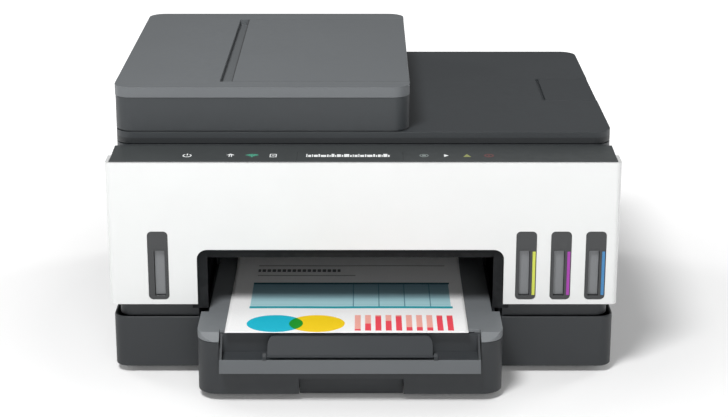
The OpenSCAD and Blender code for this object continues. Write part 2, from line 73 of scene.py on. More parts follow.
# name, place, where it points, diameter, watts
LAMPS = (("key", (-0.45, -1.10, 1.85), (0, -0.15, 0.1), 0.6, 33.0),
         ("fill", (0.35, -2.2, 0.9), (0, 0, 0.1), 0.9, 10.0),
         ("top", (0.0, 0.9, 2.2), (0, 0.3, 0.1), 1.6, 3.0),
         ("rear left", (-1.9, 1.3, 0.8), (0, 0.1, 0.1), 0.9, 16.0),
         ("rear right", (1.9, 1.3, 0.8), (0, 0.1, 0.1), 0.9, 16.0))


# --- sizes and colours that a user may change ---------------------------------------------------


def colour(name, description, value):
    return FloatVectorProperty(name=name, description=description, default=value, subtype="COLOR",
                               size=3, min=0.0, max=1.0)


def length(name, description, value):
    return FloatProperty(name=name, description=description, default=value, min=0.0,
                         subtype="DISTANCE", unit="LENGTH")


class PrinterSizes(bpy.types.PropertyGroup):
    """Sizes of the finishing work, in metres."""

    edge: length("Edge round", "Radius on the covers' outer edges", 0.0009)
    inner_edge: length("Inner edge round", "Radius on the mechanism's edges", 0.0004)
    paper: length("Paper thickness", "Thickness of the printed sheet", 0.00015)
    glyph: length("Glyph thickness", "How far the key symbols stand off the panel", 0.00012)
    tooth: length("Tooth depth", "Depth of the gears' teeth", 0.0005)
    tube: length("Ink tube diameter", "Outer diameter of one ink tube", 0.0026)
    teeth: IntProperty(name="Teeth", description="Teeth on each large gear", default=80, min=20,
                       max=120)


class PrinterColours(bpy.types.PropertyGroup):
    """Base colours, linear."""

    shell: colour("Front panel", "White front panel", (0.72, 0.73, 0.725))
    dark: colour("Covers", "Dark covers and base", (0.020, 0.023, 0.026))
    lid: colour("Lid", "Scanner lid and feeder body", (0.034, 0.039, 0.043))
    top: colour("Feeder top", "Feeder's lighter cover", (0.132, 0.142, 0.150))
    panel: colour("Control panel", "Film over the control panel", (0.050, 0.056, 0.057))
    deck: colour("Output tray", "Output tray", (0.170, 0.182, 0.192))
    black: colour("Mechanism", "Black parts of the mechanism", (0.009, 0.010, 0.011))
    yellow: colour("Yellow", "Yellow ink", (0.55, 0.60, 0.06))
    magenta: colour("Magenta", "Magenta ink", (0.32, 0.02, 0.34))
    cyan: colour("Cyan", "Cyan ink", (0.03, 0.19, 0.42))


# --- node trees ---------------------------------------------------------------------------------


class Wiring:
    """Adds nodes to one tree and links them, so a material reads like a sum."""

    def __init__(self, tree):
        self.tree = tree

    def add(self, kind, **settings):
        made = self.tree.nodes.new(kind)
        for key, value in settings.items():
            setattr(made, key, value)
        return made

    def put(self, socket, value):
        if isinstance(value, bpy.types.NodeSocket):
            self.tree.links.new(value, socket)
        else:
            socket.default_value = value

    def math(self, operation, a, b=0.0, c=0.0, clamp=False):
        made = self.add("ShaderNodeMath", operation=operation, use_clamp=clamp)
        for socket, value in zip(made.inputs, (a, b, c)):
            self.put(socket, value)
        return made.outputs[0]

    def mix(self, share, a, b, blend="MIX"):
        made = self.add("ShaderNodeMix", data_type="RGBA", blend_type=blend)
        for place, value in ((0, share), (6, a), (7, b)):
            self.put(made.inputs[place], value)
        return made.outputs[2]

    def remap(self, value, low, high, to_low, to_high):
        made = self.add("ShaderNodeMapRange", clamp=True)
        for socket, item in zip(made.inputs, (value, low, high, to_low, to_high)):
            self.put(socket, item)
        return made.outputs[0]

    def within(self, value, low, high):
        """1 where low < value < high, else 0."""
        return self.math("MULTIPLY", self.math("GREATER_THAN", value, low),
                         self.math("LESS_THAN", value, high))

    def noise(self, vector, scale, detail=2.0, rough=0.5):
        made = self.add("ShaderNodeTexNoise")
        for key, value in (("Vector", vector), ("Scale", scale), ("Detail", detail),
                           ("Roughness", rough)):
            self.put(made.inputs[key], value)
        return made.outputs["Fac"]


def rgba(values):
    return (*values, 1.0)


def group_tree(name, inputs, outputs):
    """A new shader node group: its wiring, its input sockets by name and its output node."""
    tree = bpy.data.node_groups.new(name, "ShaderNodeTree")
    for label, value in inputs:
        socket = tree.interface.new_socket(name=label, in_out="INPUT",
                                           socket_type="NodeSocketFloat")
        socket.default_value = value
    for label in outputs:
        tree.interface.new_socket(name=label, in_out="OUTPUT", socket_type="NodeSocketFloat")
    wiring = Wiring(tree)
    return wiring, wiring.add("NodeGroupInput").outputs, wiring.add("NodeGroupOutput").inputs


def make_moulded_grain():
    """Spark-eroded mould texture: fine noise mixed with small rounded cells."""
    w, given, out = group_tree("Moulded Grain", (("Scale", 900.0), ("Depth", 1.0)),
                               ("Height", "Tone"))
    place = w.add("ShaderNodeTexCoord").outputs["Object"]
    cells = w.add("ShaderNodeTexVoronoi", feature="SMOOTH_F1")
    w.put(cells.inputs["Vector"], place)
    w.put(cells.inputs["Scale"], given["Scale"])
    fine = w.noise(place, w.math("MULTIPLY", given["Scale"], 1.7), 3.0, 0.6)
    height = w.math("ADD", w.math("MULTIPLY", cells.outputs["Distance"], 0.6),
                    w.math("MULTIPLY", fine, 0.4))
    w.put(out["Height"], w.math("MULTIPLY", height, given["Depth"]))
    w.put(out["Tone"], w.noise(place, 16.0, 3.0, 0.55))
    return w.tree


def make_edge_wear():
    """A mask of the sharp outer edges, broken up by noise."""
    w, given, out = group_tree("Edge Wear", (("Amount", 0.4),), ("Mask",))
    sharp = w.remap(w.add("ShaderNodeNewGeometry").outputs["Pointiness"], 0.53, 0.60, 0.0, 1.0)
    broken = w.remap(w.noise(w.add("ShaderNodeTexCoord").outputs["Object"], 130.0, 4.0), 0.42, 0.62,
                     0.25, 1.0)
    w.put(out["Mask"], w.math("MULTIPLY", w.math("MULTIPLY", sharp, broken), given["Amount"]))
    return w.tree


def make_settled_dust():
    """A faint mask on faces that look up, in soft patches."""
    w, given, out = group_tree("Settled Dust", (("Amount", 0.1),), ("Mask",))
    normal = w.add("ShaderNodeNewGeometry").outputs["Normal"]
    parts = w.add("ShaderNodeSeparateXYZ")
    w.put(parts.inputs[0], normal)
    patches = w.noise(w.add("ShaderNodeTexCoord").outputs["Object"], 24.0, 5.0, 0.6)
    upward = w.remap(parts.outputs["Z"], 0.6, 0.95, 0.0, 1.0)
    w.put(out["Mask"], w.math("MULTIPLY", w.math("MULTIPLY", upward, patches), given["Amount"]))
    return w.tree


def effect(w, tree, **values):
    made = w.add("ShaderNodeGroup", node_tree=tree)
    for label, value in values.items():
        made.inputs[label].default_value = value
    return made.outputs


EFFECTS = {}
FINISHES = {}


def new_material(name):
    material = bpy.data.materials.new(name)
    material.use_nodes = True
    w = Wiring(material.node_tree)
    FINISHES[name] = material
    return material, w, material.node_tree.nodes["Principled BSDF"].inputs


def plastic(name, base, rough=0.5, grain=900.0, depth=0.5, wear=0.05, dust=0.004, coat=0.0,
            band=None, shine=0.5):
    """Moulded plastic: a base colour that pales on worn edges, with grain in its roughness.

    band is (limits, other colour): the other colour shows where each limit's coordinate is lower;
    it paints shade on the lid and the feeder flap and a highlight on the extender's lip.
    """
    material, w, bsdf = new_material(name)
    grains = effect(w, EFFECTS["grain"], Scale=grain, Depth=depth)
    worn = effect(w, EFFECTS["wear"], Amount=wear)["Mask"]
    dusty = effect(w, EFFECTS["dust"], Amount=dust)["Mask"]
    tone = w.remap(grains["Tone"], 0.3, 0.7, 0.975, 1.0)
    plain = rgba(base)
    # the band is painted light: a darker copy of the colour for shade, a lighter one for a
    # highlight
    if band:
        parts = w.add("ShaderNodeSeparateXYZ")
        w.put(parts.inputs[0], w.add("ShaderNodeTexCoord").outputs["Object"])
        painted_band_mask = 1.0
        for axis, place in band[0].items():
            painted_band_mask = w.math("MULTIPLY", w.math("LESS_THAN", parts.outputs[axis], place), painted_band_mask)
        plain = w.mix(painted_band_mask, plain, rgba(band[1]))
    tinted = w.mix(1.0, plain, w.mix(tone, (0, 0, 0, 1), (1, 1, 1, 1)), "MULTIPLY")
    pale = tuple(min(1.0, c * 1.9 + 0.03) for c in base)
    w.put(bsdf["Base Color"], w.mix(dusty, w.mix(worn, tinted, rgba(pale)), (0.4, 0.39, 0.37, 1)))
    w.put(bsdf["Roughness"], w.remap(grains["Tone"], 0.25, 0.75, rough - 0.01, rough + 0.02))
    bump = w.add("ShaderNodeBump")
    bump.inputs["Strength"].default_value = 0.22
    bump.inputs["Distance"].default_value = 0.00004
    w.put(bump.inputs["Height"], grains["Height"])
    w.put(bsdf["Normal"], bump.outputs[0])
    bsdf["Coat Weight"].default_value = coat
    bsdf["Coat Roughness"].default_value = 0.12
    bsdf["Specular IOR Level"].default_value = shine
    return material


def metal(name, base, rough=0.32, along=(1.0, 30.0, 30.0)):
    """Rolled or ground metal: fine streaks that run along one axis."""
    material, w, bsdf = new_material(name)
    mapping = w.add("ShaderNodeMapping")
    mapping.inputs["Scale"].default_value = along
    w.put(mapping.inputs["Vector"], w.add("ShaderNodeTexCoord").outputs["Object"])
    streaks = w.noise(mapping.outputs[0], 60.0, 4.0, 0.6)
    darker = tuple(c * 0.75 for c in base)
    w.put(bsdf["Base Color"], w.mix(streaks, rgba(darker), rgba(base)))
    w.put(bsdf["Roughness"], w.remap(streaks, 0.3, 0.7, rough - 0.08, rough + 0.1))
    bump = w.add("ShaderNodeBump")
    bump.inputs["Strength"].default_value = 0.2
    bump.inputs["Distance"].default_value = 0.00004
    w.put(bump.inputs["Height"], streaks)
    w.put(bsdf["Normal"], bump.outputs[0])
    bsdf["Metallic"].default_value = 1.0
    return material


def glowing(name, base, strength):
    """A printed or lit symbol, slightly uneven like a light guide."""
    material, w, bsdf = new_material(name)
    uneven = w.noise(w.add("ShaderNodeTexCoord").outputs["Object"], 700.0, 2.0)
    lit = w.mix(w.remap(uneven, 0.3, 0.7, 0.8, 1.0), (0, 0, 0, 1), rgba(base))
    w.put(bsdf["Base Color"], lit)
    w.put(bsdf["Emission Color"], lit)
    bsdf["Emission Strength"].default_value = strength
    bsdf["Roughness"].default_value = 0.45
    return material


def clear(name, base, rough, ior, through):
    """Glass or smoked plastic, with a faint film of haze in its roughness."""
    material, w, bsdf = new_material(name)
    haze = w.noise(w.add("ShaderNodeTexCoord").outputs["Object"], 40.0, 4.0)
    w.put(bsdf["Roughness"], w.remap(haze, 0.35, 0.75, rough, rough + 0.06))
    w.put(bsdf["Base Color"], w.mix(haze, rgba(base), rgba(tuple(c * 0.94 for c in base))))
    bsdf["IOR"].default_value = ior
    bsdf["Transmission Weight"].default_value = through
    return material


def paper_print():
    """The printed page, laid out in millimetres on the sheet's own UV map."""
    material, w, bsdf = new_material("page")
    uv = w.add("ShaderNodeUVMap", uv_map="millimetres")
    parts = w.add("ShaderNodeSeparateXYZ")
    w.put(parts.inputs[0], uv.outputs[0])
    x, y = parts.outputs["X"], parts.outputs["Y"]

    def box(x0, x1, y0, y1):
        return w.math("MULTIPLY", w.within(x, x0, x1), w.within(y, y0, y1))

    def ellipse(cx, cy, rx, ry):
        across = w.math("DIVIDE", w.math("SUBTRACT", x, cx), rx)
        along = w.math("DIVIDE", w.math("SUBTRACT", y, cy), ry)
        square = w.math("ADD", w.math("MULTIPLY", across, across), w.math("MULTIPLY", along, along))
        return w.math("LESS_THAN", square, 1.0)

    fibre = w.noise(w.add("ShaderNodeTexCoord").outputs["Object"], 900.0, 4.0, 0.7)
    page = w.mix(w.remap(fibre, 0.3, 0.7, 0.0, 1.0), (0.86, 0.86, 0.86, 1), (0.93, 0.93, 0.93, 1))
    table = w.mix(w.remap(y, 62.0, 118.0, 0.0, 1.0), (0.42, 0.68, 0.72, 1), (0.22, 0.38, 0.46, 1))
    page = w.mix(box(18.5, 197.5, 60.0, 125.0), page, table)
    page = w.mix(box(18.5, 198.5, 120.5, 125.0), page, (0.01, 0.09, 0.12, 1))
    page = w.mix(box(18.0, 199.0, 58.3, 63.3), page, (0.005, 0.33, 0.40, 1))
    columns = w.math("FRACT", w.math("DIVIDE", w.math("SUBTRACT", x, 110.0), 23.0))
    rules = w.math("MULTIPLY", w.math("LESS_THAN", columns, 0.04), box(110.0, 197.0, 63.3, 120.5))
    page = w.mix(rules, page, (0.10, 0.25, 0.32, 1))
    rows = w.math("FRACT", w.math("DIVIDE", y, 9.6))
    lines = w.math("MULTIPLY", w.math("LESS_THAN", rows, 0.1), box(20.0, 197.0, 66.0, 118.0))
    page = w.mix(w.math("MULTIPLY", lines, 0.22), page, (0.08, 0.22, 0.28, 1))
    first, second = ellipse(42.4, 21.5, 24.5, 20.0), ellipse(79.0, 21.5, 24.3, 20.0)
    page = w.mix(first, page, (0.0, 0.45, 0.60, 1))
    page = w.mix(second, page, (0.88, 0.60, 0.0, 1))
    page = w.mix(w.math("MULTIPLY", first, second), page, (0.0, 0.28, 0.01, 1))
    step = w.math("DIVIDE", w.math("SUBTRACT", x, 112.0), 8.95)
    number = w.math("FLOOR", step)
    bars = w.math("MULTIPLY", w.math("LESS_THAN", w.math("FRACT", step), 0.58),
                  box(112.0, 201.2, 4.8, 41.6))
    page = w.mix(bars, page, (0.86, 0.40, 0.34, 1))
    heights = w.add("ShaderNodeValToRGB")
    heights.color_ramp.interpolation = "CONSTANT"
    shares = (0.10, 0.45, 0.92, 0.62, 0.92, 0.22, 0.22, 0.20, 0.95, 0.95)
    stops = heights.color_ramp.elements
    for place, share in enumerate(shares):
        stop = stops[place] if place < 2 else stops.new(place / 10)
        stop.position = place / 10
        stop.color = (share, share, share, 1)
    w.put(heights.inputs[0], w.math("DIVIDE", w.math("ADD", number, 0.5), 10.0))
    filled = w.math("LESS_THAN", y, w.math("MULTIPLY_ADD", heights.outputs[0], 36.8, 4.8))
    page = w.mix(w.math("MULTIPLY", bars, filled), page, (0.82, 0.06, 0.09, 1))
    broken = w.math("GREATER_THAN", w.math("FRACT", w.math("DIVIDE", x, 4.7)), 0.25)
    heading = w.math("MULTIPLY", box(21.0, 98.0, 153.0, 159.0), broken)
    page = w.mix(heading, page, (0.12, 0.12, 0.13, 1))
    small = w.math("ADD", box(21.0, 112.0, 143.0, 145.0), box(21.0, 196.0, 165.5, 167.0))
    page = w.mix(small, page, (0.35, 0.35, 0.36, 1))
    w.put(bsdf["Base Color"], page)
    bsdf["Roughness"].default_value = 0.75
    bump = w.add("ShaderNodeBump")
    bump.inputs["Strength"].default_value = 0.25
    bump.inputs["Distance"].default_value = 0.00005
    w.put(bump.inputs["Height"], fibre)
    w.put(bsdf["Normal"], bump.outputs[0])
    return material


def circuit_board():
    """Green solder mask with copper runs on the board, and black parts standing off it."""
    material, w, bsdf = new_material("board")
    place = w.add("ShaderNodeTexCoord").outputs["Object"]
    parts = w.add("ShaderNodeSeparateXYZ")
    w.put(parts.inputs[0], place)
    raised = w.math("GREATER_THAN", parts.outputs["X"], -0.2143)
    runs = w.add("ShaderNodeTexBrick")
    mapping = w.add("ShaderNodeMapping")
    mapping.inputs["Rotation"].default_value = (0, math.radians(90), 0)
    w.put(mapping.inputs["Vector"], place)
    w.put(runs.inputs["Vector"], mapping.outputs[0])
    for label, value in (("Scale", 90.0), ("Mortar Size", 0.03)):
        runs.inputs[label].default_value = value
    green = w.mix(runs.outputs["Fac"], (0.012, 0.12, 0.05, 1), (0.05, 0.26, 0.10, 1))
    w.put(bsdf["Base Color"], w.mix(raised, green, (0.015, 0.015, 0.017, 1)))
    w.put(bsdf["Roughness"], w.remap(w.noise(place, 300.0), 0.3, 0.7, 0.3, 0.5))
    return material


# --- surfaces worked out with numpy -------------------------------------------------------------


def mesh_piece(name, points, faces, finish, smooth=True):
    """A new object from an array of points and a list of faces, in metres in the shared frame."""
    mesh = bpy.data.meshes.new(name)
    mesh.from_pydata(np.asarray(points, float).reshape(-1, 3).tolist(), [],
                     [tuple(int(i) for i in face) for face in faces])
    mesh.validate()
    mesh.polygons.foreach_set("use_smooth", np.full(len(mesh.polygons), smooth))
    mesh.update()
    piece = bpy.data.objects.new(name, mesh)
    bpy.context.scene.collection.objects.link(piece)
    mesh.materials.append(FINISHES[finish])
    return piece


def ring_faces(rings, count, closed=True):
    """Quads between neighbouring rings of count points each, as one index array."""
    a = np.arange(rings - 1)[:, None] * count
    i = np.arange(count if closed else count - 1)[None, :]
    j = (i + 1) % count
    return np.stack([a + i, a + j, a + count + j, a + count + i], axis=-1).reshape(-1, 4)


def skin(name, rings, finish, ends=True, smooth=True):
    """Joins rings (rings x points x 3) into one closed surface, with a flat face on each end."""
    rings = np.asarray(rings, float)
    n, count = rings.shape[:2]
    faces = ring_faces(n, count).tolist()
    if ends:
        faces.append(list(range(count))[::-1])
        faces.append(list(range((n - 1) * count, n * count)))
    return mesh_piece(name, rings, faces, finish, smooth)


def rounded_outline(x, y, radius, steps=8):
    """Anticlockwise outline of a rectangle whose corners are quarter circles of one radius."""
    turn = np.linspace(0, math.pi / 2, steps)
    centres = np.array([[x[1] - radius, y[1] - radius], [x[0] + radius, y[1] - radius],
                        [x[0] + radius, y[0] + radius], [x[1] - radius, y[0] + radius]])
    angles = turn[None, :] + (np.arange(4) * math.pi / 2)[:, None]
    circle = np.stack([np.cos(angles), np.sin(angles)], axis=-1) * radius
    return (centres[:, None, :] + circle).reshape(-1, 2)


def turned(name, axis, along, profile, finish, teeth=None, steps=48):
    """A body turned about a line: radius as a function of the distance along it.

    axis is 0 for X or 1 for Y, along is the line's two other coordinates, and profile is rows of
    (distance, radius). Where teeth gives (rows, number, depth), those rows' radius falls and rises
    that many times round the circle by the depth.
    """
    profile = np.asarray(profile, float)
    count = steps if teeth is None else teeth[1] * 4
    angle = np.arange(count) / count * 2 * math.pi
    radius = np.repeat(profile[:, 1][:, None], count, axis=1)
    if teeth is not None:
        wave = np.tile([1.0, 1.0, 0.0, 0.0], teeth[1])
        radius[list(teeth[0])] -= (1 - wave) * teeth[2]
    flat = np.repeat(profile[:, 0][:, None], count, axis=1)
    first, second = radius * np.cos(angle), radius * np.sin(angle)
    if axis == 0:
        points = np.stack([flat, along[0] + first, along[1] + second], axis=-1)
    else:
        points = np.stack([along[0] + second, flat, along[1] + first], axis=-1)
    return skin(name, points, finish, smooth=False)


def tube(name, path, radius, finish, sides=10):
    """A round tube: a circle of one radius carried along a path on frames turned by its tangent."""
    path = np.asarray(path, float)
    tangent = np.gradient(path, axis=0)
    tangent /= np.linalg.norm(tangent, axis=1)[:, None]
    side = np.cross(tangent, [0.03, 0.05, 1.0])
    side /= np.linalg.norm(side, axis=1)[:, None]
    up = np.cross(side, tangent)
    angle = np.arange(sides) / sides * 2 * math.pi
    circle = (np.cos(angle)[None, :, None] * side[:, None, :]
              + np.sin(angle)[None, :, None] * up[:, None, :])
    return skin(name, path[:, None, :] + radius * circle, finish)


def curve_through(points, count):
    """A smooth path: cubic Hermite pieces whose slopes are half the step between neighbours."""
    points = np.asarray(points, float)
    slopes = np.gradient(points, axis=0)
    place = np.linspace(0, len(points) - 1, count)
    k = np.minimum(place.astype(int), len(points) - 2)
    t = (place - k)[:, None]
    a, b, c, d = points[k], slopes[k], points[k + 1], slopes[k + 1]
    return ((2 * t**3 - 3 * t**2 + 1) * a + (t**3 - 2 * t**2 + t) * b
            + (3 * t**2 - 2 * t**3) * c + (t**3 - t**2) * d)


def plates(name, outlines, surface, thick, finish):
    """Thin flat symbols on a surface: each outline is raised by thick above surface(x, y)."""
    points, faces, start = [], [], 0
    for outline in outlines:
        outline = np.asarray(outline, float)
        count = len(outline)
        low = np.column_stack([outline, surface(outline[:, 0], outline[:, 1])])
        high = low + [0, 0, thick]
        points.append(np.concatenate([low, high]))
        faces += (ring_faces(2, count) + start).tolist()
        faces.append([start + i for i in range(count)][::-1])
        faces.append([start + count + i for i in range(count)])
        start += 2 * count
    return mesh_piece(name, np.concatenate(points), faces, finish, smooth=False)


def bars(name, boxes, finish, edge=0.0):
    """Several small rounded bars as one piece; boxes is rows of x0, x1, y0, y1, z0, z1."""
    boxes = np.asarray(boxes, float)
    pick = np.array([[0, 2, 4], [1, 2, 4], [1, 3, 4], [0, 3, 4], [0, 2, 5], [1, 2, 5], [1, 3, 5],
                     [0, 3, 5]])
    points = boxes[:, pick].reshape(-1, 3)
    faces = np.array([[0, 3, 2, 1], [4, 5, 6, 7], [0, 1, 5, 4], [1, 2, 6, 5], [2, 3, 7, 6],
                      [3, 0, 4, 7]])
    all_faces = (faces[None] + np.arange(len(boxes))[:, None, None] * 8).reshape(-1, 4)
    piece = mesh_piece(name, points, all_faces, finish, smooth=False)
    if edge:
        soften(piece, edge, merge=False)
    return piece


def soften(piece, radius, merge=True, join=True, segments=3):
    """Rounds every edge sharper than 40 degrees by a radius, on flat faces joined into one."""
    if merge:
        weld = piece.modifiers.new("weld", "WELD")
        weld.merge_threshold = 0.00001
    if merge and join:
        flat = piece.modifiers.new("flat faces", "DECIMATE")
        flat.decimate_type = "DISSOLVE"
        flat.angle_limit = math.radians(0.4)
    if radius:
        bevel = piece.modifiers.new("round", "BEVEL")
        bevel.width = radius
        bevel.segments = segments
        bevel.limit_method = "ANGLE"
        bevel.angle_limit = SHARP
        bevel.use_clamp_overlap = True
        bevel.loop_slide = False
    normals = piece.modifiers.new("shading", "WEIGHTED_NORMAL")
    normals.weight = 100
    normals.keep_sharp = True
    return piece


# flat faces with many holes, which stay as triangles because joined ones would overlap
PIERCED = ("rear_cover", "right_side_cover", "data_ports", "platen", "scanner_frame")


def dress(node, finish, radius):
    """Gives a CAD node its finish and rounded edges."""
    part = NODES[node]
    part.data.materials.clear()
    part.data.materials.append(FINISHES[finish])
    if radius:
        soften(part, radius, join=node not in PIERCED)


def ride(piece, body, stands_for=()):
    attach(piece, body)
    if stands_for:
        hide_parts(*stands_for)
    return piece


# --- operators ----------------------------------------------------------------------------------


class PRINTER_OT_finishes(bpy.types.Operator):
    """Make the plastics, metals, paper and glass"""

    bl_idname = "printer.finishes"
    bl_label = "Finishes"

    def execute(self, context):
        tint = context.scene.printer_colours
        EFFECTS.update(grain=make_moulded_grain(), wear=make_edge_wear(), dust=make_settled_dust())
        plastic("shell white", tint.shell, 0.34, 1500.0, 0.12, 0.05, 0.0, coat=0.25)
        plastic("cover dark", tint.dark, 0.52)
        plastic("lid dark", tint.lid, 0.5)
        # painted shade: the lid's front below 206.6 mm, which faces down, is painted darker
        under = tuple(c * 0.55 for c in tint.lid)
        plastic("lid edge dark", tint.lid, 0.5, band=({"Z": 0.2066}, under))
        plastic("feeder top", tint.top, 0.5)
        # painted shadow: a strip along the flap's left edge, beside its gap, is painted darker
        shade = tuple(c * 0.25 for c in tint.top)
        plastic("flap top", tint.top, 0.5, band=({"X": -0.1168}, shade))
        plastic("panel film", tint.panel, 0.42, 1800.0, 0.15, 0.1)
        plastic("deck grey", tint.deck, 0.5)
        # painted highlight: the front lip, ahead of Y -216.2 mm and below Z 41.3 mm, is painted
        # lighter
        plastic("extender grey", (0.034, 0.038, 0.042), 0.5, shine=0.3,
                band=({"Y": -0.2162, "Z": 0.0413}, (0.108, 0.116, 0.123)))
        plastic("tongue grey", (0.032, 0.036, 0.040), 0.55, shine=0.2)
        plastic("black inner", tint.black, 0.55, 700.0, 0.4, 0.2, shine=0.12)
        plastic("trim black", (0.02, 0.022, 0.024), 0.3, 1500.0, 0.1, 0.15, 0.0, coat=0.3)
        plastic("level window", (0.165, 0.172, 0.180), 0.32, 1200.0, 0.1, 0.0, 0.0, coat=0.2)
        plastic("rubber", (0.016, 0.016, 0.016), 0.8, 500.0, 0.8, 0.1)
        plastic("acetal", (0.72, 0.71, 0.66), 0.4, 1200.0, 0.2)
        plastic("pad white", (0.82, 0.82, 0.80), 0.7, 1200.0, 0.5, 0.0)
        plastic("key grey", (0.16, 0.165, 0.17), 0.45)
        for name in ("yellow", "magenta", "cyan"):
            plastic("bar " + name, getattr(tint, name), 0.35, 1200.0, 0.1, 0.0, 0.0, coat=0.3)
        plastic("ink black", (0.01, 0.01, 0.011), 0.45)
        plastic("ink yellow", (0.78, 0.55, 0.02), 0.45)
        plastic("ink magenta", (0.48, 0.015, 0.27), 0.45)
        plastic("ink cyan", (0.01, 0.28, 0.56), 0.45)
        metal("plate steel", (0.55, 0.56, 0.57), 0.35)
        metal("ground steel", (0.78, 0.79, 0.80), 0.16)
        metal("dark screw", (0.16, 0.16, 0.17), 0.35)
        metal("brass", (0.72, 0.50, 0.20), 0.28)
        metal("copper", (0.80, 0.62, 0.30), 0.3)
        clear("scan glass", (0.86, 0.92, 0.90), 0.02, 1.5, 1.0)
        glowing("lit white", (0.85, 0.87, 0.87), 0.25)
        glowing("lit grey", (0.26, 0.30, 0.29), 0.1)
        glowing("lit green", (0.08, 0.42, 0.28), 0.3)
        glowing("lit amber", (0.30, 0.32, 0.12), 0.15)
        glowing("lit red", (0.15, 0.07, 0.07), 0.1)
        plastic("panel line", (0.03, 0.034, 0.034), 0.5)
        paper_print()
        circuit_board()
        return {"FINISHED"}


DRESSING = (
    ("cover dark", "inner_edge", "mid_deck"),
    ("cover dark", "edge", "base_tub left_side_cover right_side_cover rear_cover rear_door"
     " input_tray"),
    ("shell white", "edge", "front_fascia"),
    ("lid edge dark", "edge", "scanner_lid"),
    ("lid dark", "edge", "scanner_frame adf_base document_stop"),
    ("feeder top", "edge", "adf_cover"),
    ("flap top", "inner_edge", "adf_flap"),
    ("panel film", "inner_edge", "control_panel"),
    ("extender grey", "inner_edge", "output_extender"),
    ("tongue grey", "inner_edge", "output_stop"),
    ("deck grey", "inner_edge", "output_deck width_guide_left"
     " width_guide_right length_guide adf_guide_front adf_guide_rear"),
    ("black inner", "inner_edge", "output_bezel platen service_station pick_arm"
     " print_carriage scanner_tub scan_bar power_supply"),
    ("trim black", "inner_edge", "window_frames printheads"),
    ("level window", "inner_edge", "ink_tank_black ink_tank_colours"),
    ("plate steel", "inner_edge", "mech_frame drive_motors data_ports"),
    ("ground steel", None, "carriage_rod"),
    ("dark screw", None, "case_screws"),
    ("rubber", "inner_edge", "rubber_feet carriage_belt pickup_roller adf_pick_roller"
     " adf_feed_roller feed_roller eject_roller"),
    ("acetal", None, "belt_pulley_drive belt_pulley_idler idler_gear"),
    ("brass", None, "feed_pinion"),
    ("pad white", "inner_edge", "lid_pad"),
    ("key grey", "inner_edge", "power_button"),
    ("board", None, "main_board"),
    ("scan glass", None, "scanner_glass"),
    ("ink black", "inner_edge", "cap_black"),
    ("ink yellow", "inner_edge", "cap_yellow"),
    ("ink magenta", "inner_edge", "cap_magenta"),
    ("ink cyan", "inner_edge", "cap_cyan"),
    ("page", None, "printed_sheet"),
)


class PRINTER_OT_housing(bpy.types.Operator):
    """Dress the moulded and machined parts in their finishes"""

    bl_idname = "printer.housing"
    bl_label = "Housing"

    def execute(self, context):
        sizes = context.scene.printer_sizes
        for finish, edge, nodes in DRESSING:
            for node in nodes.split():
                dress(node, finish, getattr(sizes, edge) if edge else 0.0)
        return {"FINISHED"}


class PRINTER_OT_sheet(bpy.types.Operator):
    """Make the printed sheet"""

    bl_idname = "printer.sheet"
    bl_label = "Printed sheet"

    def execute(self, context):
        """Height over the tray is the solid's own, plus a faint wave across and a rise at the back.
        """
        low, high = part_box("printed_sheet")
        across, along = np.meshgrid(np.linspace(0, 1, 61), np.linspace(0, 1, 81))
        x = low.x + (high.x - low.x) * across
        y = low.y + (high.y - low.y) * along
        bend = low.y + SHEET_FLAT
        rise = np.clip((y - bend) / (high.y - bend), 0, 1)
        smooth = rise * rise * (1.6 - 0.6 * rise)
        wave = 0.0002 * np.sin(across * math.pi * 2.2) * np.sin(along * 5.0)
        z = low.z + 0.0003 + smooth * (high.z - low.z - 0.0003) + np.abs(wave)
        points = np.stack([x, y, z], axis=-1)
        rows, columns = across.shape
        faces = ring_faces(rows, columns, closed=False)
        piece = mesh_piece("sheet_of_paper", points, faces, "page")
        flat = np.stack([x / MM + SHEET_CORNER[0], (y - BACK) / MM + SHEET_CORNER[1]],
                        axis=-1).reshape(-1, 2)
        corner = np.empty(len(piece.data.loops), int)
        piece.data.loops.foreach_get("vertex_index", corner)
        layer = piece.data.uv_layers.new(name="millimetres")
        layer.data.foreach_set("uv", flat[corner].ravel())
        thick = piece.modifiers.new("thickness", "SOLIDIFY")
        thick.thickness = context.scene.printer_sizes.paper
        thick.offset = 1.0
        ride(piece, "sheet", ["printed_sheet"])
        return {"FINISHED"}


def circle_outline(cx, cy, r, count=20):
    angle = np.arange(count) / count * 2 * math.pi
    return np.column_stack([cx + r * np.cos(angle), cy + r * np.sin(angle)])


def rectangle(x0, x1, y0, y1):
    return np.array([[x0, y0], [x1, y0], [x1, y1], [x0, y1]])


def arc_band(cx, cy, inner, outer, start, end, count=16):
    """A band between two radii, from one angle to another in degrees."""
    angle = np.radians(np.linspace(start, end, count))
    one = np.column_stack([cx + outer * np.cos(angle), cy + outer * np.sin(angle)])
    two = np.column_stack([cx + inner * np.cos(angle), cy + inner * np.sin(angle)])[::-1]
    return np.concatenate([one, two])


